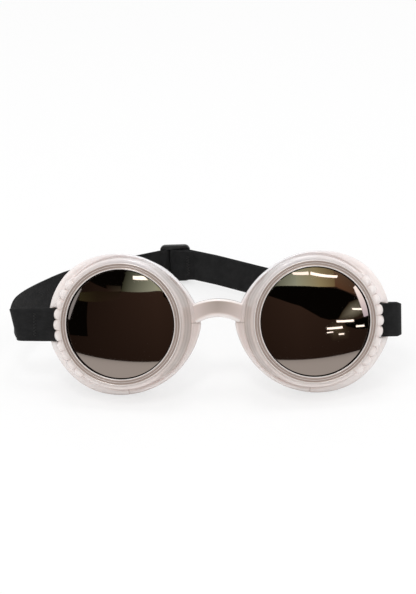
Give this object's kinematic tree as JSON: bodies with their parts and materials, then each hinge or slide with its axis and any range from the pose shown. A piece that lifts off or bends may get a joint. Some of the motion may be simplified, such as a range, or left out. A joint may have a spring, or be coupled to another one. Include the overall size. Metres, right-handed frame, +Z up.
{
  "type": "costume goggles",
  "caption": "Round costume goggles: pearl two-cup frame with mirrored lenses under turnable rings, and an elastic strap with a slider.",
  "frame": {"origin": "on the table under the middle of the bounding box", "axes": "+X to the right as seen from the front, +Y away from the viewer toward the back of the strap, +Z up; the goggles lean back 26 degrees as they rest"},
  "size_m": [0.177, 0.124, 0.0608],
  "materials": {
    "pearl_moulding": "pearl",
    "lens_ring": "pearl",
    "mirror_lens": "dark bronze mirror",
    "gasket_rubber": "matte",
    "elastic": "woven",
    "thread": "stitched",
    "slider_plastic": "satin"
  },
  "bodies": {
    "root": {"frame": "pearl_moulding", "lens_left": "mirror_lens", "lens_right": "mirror_lens", "lens_gasket_left": "gasket_rubber", "lens_gasket_right": "gasket_rubber", "strap_left": "elastic", "strap_right": "elastic", "bar_tack_left": "thread", "strap_take_up_left": "elastic", "strap_take_up_inner": "elastic", "strap_take_up_outer": "elastic"},
    "lens_ring_left": {"bezel_ring_left": "lens_ring"},
    "lens_ring_right": {"bezel_ring_right": "lens_ring"},
    "slider": {"slider": "slider_plastic", "strap_weave": "elastic", "strap_end_loop": "elastic", "bar_tack_slider": "thread"}
  },
  "joints": [
    {"name": "lens_ring_left_turn", "type": "hinge", "parent": "root", "child": "lens_ring_left", "pos_m": [-0.03642, -0.04852, 0.03498], "axis": [-0.1132, -0.893, 0.4356], "range_deg": [0, 360]},
    {"name": "lens_ring_right_turn", "type": "hinge", "parent": "root", "child": "lens_ring_right", "pos_m": [0.04948, -0.04852, 0.03498], "axis": [0.1132, -0.893, 0.4356], "range_deg": [0, 360]},
    {"name": "slider_slide", "type": "slide", "parent": "root", "child": "slider", "axis": [0.8077, -0.5799, 0.1062], "range_m": [0, 0.01], "deforming": ["strap_take_up_left", "strap_take_up_inner", "strap_take_up_outer"]}
  ]
}
